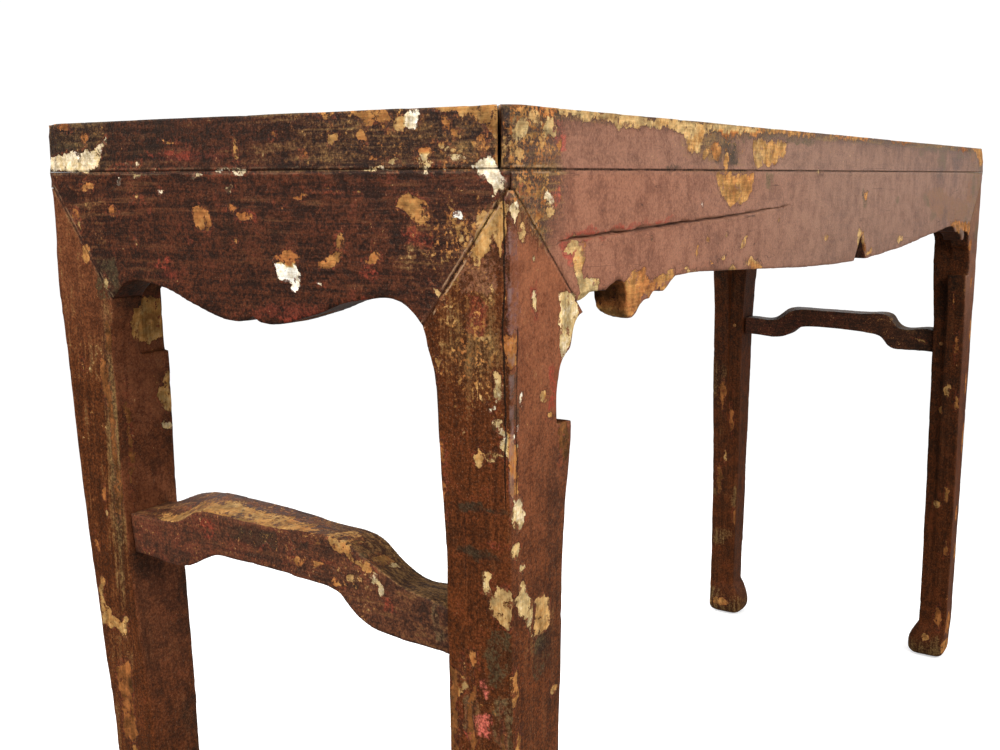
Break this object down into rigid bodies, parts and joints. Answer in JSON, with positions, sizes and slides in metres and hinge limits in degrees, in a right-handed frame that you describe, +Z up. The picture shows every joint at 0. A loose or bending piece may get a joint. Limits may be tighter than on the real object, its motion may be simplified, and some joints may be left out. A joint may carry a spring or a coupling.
{
  "type": "chinese altar table",
  "caption": "Long narrow altar table of worn lacquered wood: mitred frame top with floating panel, carved aprons, corner legs with hoof feet and humpback end stretchers.",
  "frame": {"origin": "centre of the table's outline on the floor, between the four feet", "axes": "+X along the table's length to its right end, -Y towards its front long face, +Z up"},
  "size_m": [1.408, 0.424, 0.85],
  "materials": {
    "lacquered_wood": "old brown-red lacquer, worn dull, chipped to ochre wood along edges and in patches",
    "panel_wood": "brown lacquered panel, dull and rubbed, with fine cracks along the grain",
    "bare_wood": "unlacquered darkened wood on the underside",
    "peg_wood": "plain hardwood keys and pins"
  },
  "bodies": {
    "root": {"top_rail_front": "lacquered_wood", "top_rail_back": "lacquered_wood", "top_rail_left": "lacquered_wood", "top_rail_right": "lacquered_wood", "panel_board_front": "panel_wood", "panel_board_back": "panel_wood", "apron_front": "lacquered_wood", "apron_back": "lacquered_wood", "apron_left": "lacquered_wood", "apron_right": "lacquered_wood", "leg_front_left": "lacquered_wood", "leg_front_right": "lacquered_wood", "leg_back_left": "lacquered_wood", "leg_back_right": "lacquered_wood", "stretcher_left": "lacquered_wood", "stretcher_right": "lacquered_wood", "batten_left": "bare_wood", "batten_middle": "bare_wood", "batten_right": "bare_wood", "apron_keys": "peg_wood", "corner_pins": "peg_wood", "stretcher_pins": "peg_wood"}
  },
  "joints": []
}
